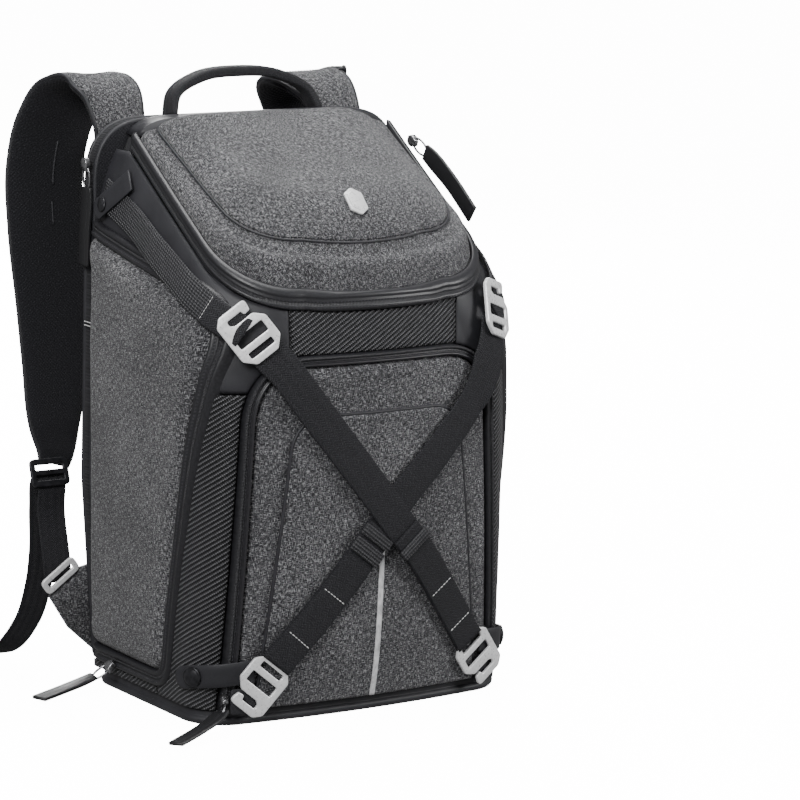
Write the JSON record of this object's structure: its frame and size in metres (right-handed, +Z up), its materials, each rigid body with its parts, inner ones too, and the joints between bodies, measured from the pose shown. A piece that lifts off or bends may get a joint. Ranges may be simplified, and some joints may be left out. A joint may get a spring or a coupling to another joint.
{
  "type": "camera backpack",
  "caption": "Closed camera backpack with a domed sloping lid, zipped side doors and front door, crossed webbing straps on open hooks, haul handle and padded shoulder straps.",
  "frame": {"origin": "middle of the underside of the base tray, where the bag stands", "axes": "+Z up, the front with the crossed straps faces -Y, the harness faces +Y, +X is to the right seen from the front"},
  "size_m": [0.4474, 0.3329, 0.5013],
  "materials": {
    "heather_cloth": "grey heather weave",
    "smooth_cloth": "black coated cloth",
    "ribbed_leatherette": "embossed twill ribs",
    "zip_tape": "coated coil zip",
    "webbing": "woven nylon webbing",
    "mesh_cloth": "black knitted mesh",
    "reflective_tape": "silver reflective tape",
    "bright_metal": "bright satin",
    "snap_metal": "black satin",
    "pull_rubber": "rubbery pull tab on a metal slider"
  },
  "bodies": {
    "root": {"back_pad_left": "mesh_cloth", "back_pad_right": "mesh_cloth", "back_panel": "mesh_cloth", "badge_plate": "bright_metal", "base_tray": "smooth_cloth", "carcass_shell": "mesh_cloth", "corner_snap_left": "snap_metal", "corner_snap_right": "snap_metal", "corner_strip_left": "ribbed_leatherette", "corner_strip_right": "ribbed_leatherette", "corner_tab_left": "smooth_cloth", "corner_tab_right": "smooth_cloth", "cross_strap_upper_left": "webbing", "cross_strap_upper_right": "webbing", "front_band": "ribbed_leatherette", "front_door": "heather_cloth", "front_inner_panel": "heather_cloth", "front_pull": "pull_rubber", "front_zip": "zip_tape", "haul_handle": "webbing", "hinge_gusset": "smooth_cloth", "hook_loop_left": "webbing", "hook_loop_right": "webbing", "hook_lower_left": "bright_metal", "hook_lower_right": "bright_metal", "hook_upper_left": "bright_metal", "hook_upper_right": "bright_metal", "keeper_snap_left": "snap_metal", "keeper_snap_right": "snap_metal", "keeper_tab_left": "smooth_cloth", "keeper_tab_right": "smooth_cloth", "ladder_buckle_left": "bright_metal", "ladder_buckle_right": "bright_metal", "lid_panel": "heather_cloth", "lid_pull": "pull_rubber", "lid_shell": "heather_cloth", "lid_zip": "zip_tape", "reflective_strip": "reflective_tape", "ribbed_webbing_left": "webbing", "ribbed_webbing_right": "webbing", "shoulder_strap_left": "mesh_cloth", "shoulder_strap_right": "mesh_cloth", "side_door_left": "heather_cloth", "side_door_right": "heather_cloth", "side_pull_lower_left": "pull_rubber", "side_pull_lower_right": "pull_rubber", "side_pull_upper_left": "pull_rubber", "side_pull_upper_right": "pull_rubber", "side_zip_left": "zip_tape", "side_zip_right": "zip_tape", "strap_webbing_left": "webbing", "strap_webbing_right": "webbing", "wing_ring_left": "bright_metal", "wing_ring_right": "bright_metal", "wing_tab_left": "heather_cloth", "wing_tab_right": "heather_cloth", "yoke_left": "smooth_cloth", "yoke_right": "smooth_cloth"}
  },
  "joints": []
}
